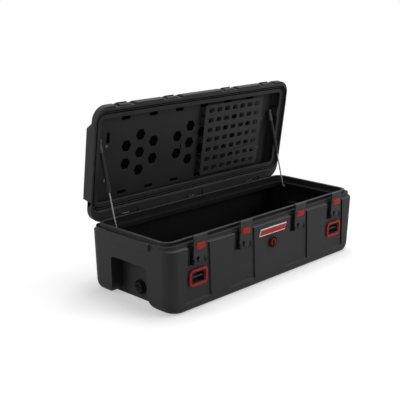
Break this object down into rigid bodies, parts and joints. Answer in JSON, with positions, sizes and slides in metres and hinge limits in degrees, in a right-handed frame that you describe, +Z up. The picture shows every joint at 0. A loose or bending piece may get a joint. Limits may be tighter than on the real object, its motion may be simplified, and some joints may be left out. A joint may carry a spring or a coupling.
{
  "type": "cargo case",
  "caption": "Long moulded cargo case with a strut-held lid, push-button lever latches, tie-down points, hand pockets, and panels for gear inside the lid.",
  "frame": {"origin": "under the middle of the base, on the floor", "axes": "+X to the right seen from the latches, +Y to the hinges, +Z up"},
  "size_m": [1.104, 0.503, 0.6973],
  "materials": {
    "shell_plastic": "satin, lightly grained",
    "panel_plastic": "satin",
    "fitting_plastic": "satin",
    "red_plastic": "semi-gloss",
    "pale_plastic": "semi-gloss",
    "seal_rubber": "matte",
    "black_metal": "black coat",
    "steel": "bright"
  },
  "bodies": {
    "base": {"badge_backing": "pale_plastic", "badge_face": "red_plastic", "base_shell": "shell_plastic", "drain_nut": "fitting_plastic", "drain_seat": "fitting_plastic", "hinge_base_leaf_left": "black_metal", "hinge_base_leaf_middle": "black_metal", "hinge_base_leaf_right": "black_metal", "hinge_pin_left": "black_metal", "hinge_pin_middle": "black_metal", "hinge_pin_right": "black_metal", "latch_bracket_1": "fitting_plastic", "latch_bracket_2": "fitting_plastic", "latch_bracket_3": "fitting_plastic", "latch_bracket_4": "fitting_plastic", "latch_pin_1": "steel", "latch_pin_2": "steel", "latch_pin_3": "steel", "latch_pin_4": "steel", "strut_base_bracket_left": "black_metal", "strut_base_bracket_right": "black_metal", "tiedown_bezel_left": "red_plastic", "tiedown_bezel_right": "red_plastic", "tiedown_cup_left": "fitting_plastic", "tiedown_cup_right": "fitting_plastic", "valve_body": "fitting_plastic", "valve_nut": "fitting_plastic"},
    "lid": {"hex_panel": "panel_plastic", "hex_panel_screw_1": "steel", "hex_panel_screw_2": "steel", "hex_panel_screw_3": "steel", "hex_panel_screw_4": "steel", "hinge_lid_leaf_left": "black_metal", "hinge_lid_leaf_middle": "black_metal", "hinge_lid_leaf_right": "black_metal", "lid_gasket": "seal_rubber", "lid_shell": "shell_plastic", "slot_panel": "panel_plastic", "strut_lid_bracket_left": "black_metal", "strut_lid_bracket_right": "black_metal"},
    "lever_1": {"latch_lever_1": "fitting_plastic", "button_spring_1": "steel"},
    "button_1": {"latch_button_1": "red_plastic"},
    "lever_2": {"latch_lever_2": "fitting_plastic", "button_spring_2": "steel"},
    "button_2": {"latch_button_2": "red_plastic"},
    "lever_3": {"latch_lever_3": "fitting_plastic", "button_spring_3": "steel"},
    "button_3": {"latch_button_3": "red_plastic"},
    "lever_4": {"latch_lever_4": "fitting_plastic", "button_spring_4": "steel"},
    "button_4": {"latch_button_4": "red_plastic"},
    "rod_left": {"strut_rod_left": "steel"},
    "cylinder_left": {"strut_cylinder_left": "black_metal", "strut_gland_left": "fitting_plastic"},
    "rod_right": {"strut_rod_right": "steel"},
    "cylinder_right": {"strut_cylinder_right": "black_metal", "strut_gland_right": "fitting_plastic"},
    "valve_knob": {"valve_knob": "red_plastic"},
    "drain_plug": {"drain_plug": "fitting_plastic"}
  },
  "joints": [
    {"name": "lid_hinge", "type": "hinge", "parent": "base", "child": "lid", "pos_m": [0, 0.2208, 0.2636], "axis": [1, 0, 0], "range_deg": [0, 82.3]},
    {"name": "latch_1_swing", "type": "hinge", "parent": "base", "child": "lever_1", "pos_m": [-0.4007, -0.216, 0.178], "axis": [1, 0, 0], "range_deg": [-2.88, 50]},
    {"name": "button_1_press", "type": "slide", "parent": "lever_1", "child": "button_1", "axis": [0, 0.9987, 0.0503], "range_m": [0, 0.002], "stiffness_N_per_m": 400, "springref_m": -0.003, "deforming": ["button_spring_1"]},
    {"name": "latch_2_swing", "type": "hinge", "parent": "base", "child": "lever_2", "pos_m": [-0.1608, -0.216, 0.178], "axis": [1, 0, 0], "range_deg": [-2.88, 50]},
    {"name": "button_2_press", "type": "slide", "parent": "lever_2", "child": "button_2", "axis": [0, 0.9987, 0.0503], "range_m": [0, 0.002], "stiffness_N_per_m": 400, "springref_m": -0.003, "deforming": ["button_spring_2"]},
    {"name": "latch_3_swing", "type": "hinge", "parent": "base", "child": "lever_3", "pos_m": [0.1608, -0.216, 0.178], "axis": [1, 0, 0], "range_deg": [-2.88, 50]},
    {"name": "button_3_press", "type": "slide", "parent": "lever_3", "child": "button_3", "axis": [0, 0.9987, 0.0503], "range_m": [0, 0.002], "stiffness_N_per_m": 400, "springref_m": -0.003, "deforming": ["button_spring_3"]},
    {"name": "latch_4_swing", "type": "hinge", "parent": "base", "child": "lever_4", "pos_m": [0.4007, -0.216, 0.178], "axis": [1, 0, 0], "range_deg": [-2.88, 50]},
    {"name": "button_4_press", "type": "slide", "parent": "lever_4", "child": "button_4", "axis": [0, 0.9987, 0.0503], "range_m": [0, 0.002], "stiffness_N_per_m": 400, "springref_m": -0.003, "deforming": ["button_spring_4"]},
    {"name": "strut_left_swing", "type": "hinge", "parent": "base", "child": "rod_left", "pos_m": [-0.484, 0.124, 0.226], "axis": [1, 0, 0], "range_deg": [0, 85.31]},
    {"name": "strut_left_slide", "type": "slide", "parent": "rod_left", "child": "cylinder_left", "axis": [0, 0.2655, 0.9641], "range_m": [-0.136, 0]},
    {"name": "strut_right_swing", "type": "hinge", "parent": "base", "child": "rod_right", "pos_m": [0.484, 0.124, 0.226], "axis": [1, 0, 0], "range_deg": [0, 85.31]},
    {"name": "strut_right_slide", "type": "slide", "parent": "rod_right", "child": "cylinder_right", "axis": [0, 0.2655, 0.9641], "range_m": [-0.136, 0]},
    {"name": "valve_turn", "type": "hinge", "parent": "base", "child": "valve_knob", "pos_m": [0, -0.21599, 0.157], "axis": [0, -0.9997, -0.0254], "range_deg": [0, 180]},
    {"name": "drain_turn", "type": "hinge", "parent": "base", "child": "drain_plug", "pos_m": [-0.4883, 0, 0.047], "axis": [-1, 0, 0], "range_deg": [0, 90]}
  ],
  "couplings": [
    {"joint": "strut_left_swing", "follows": "lid_hinge", "ratio": 1.0364},
    {"joint": "strut_left_slide", "follows": "lid_hinge", "m_per_rad": -0.094653},
    {"joint": "strut_right_swing", "follows": "lid_hinge", "ratio": 1.0364},
    {"joint": "strut_right_slide", "follows": "lid_hinge", "m_per_rad": -0.094653}
  ]
}
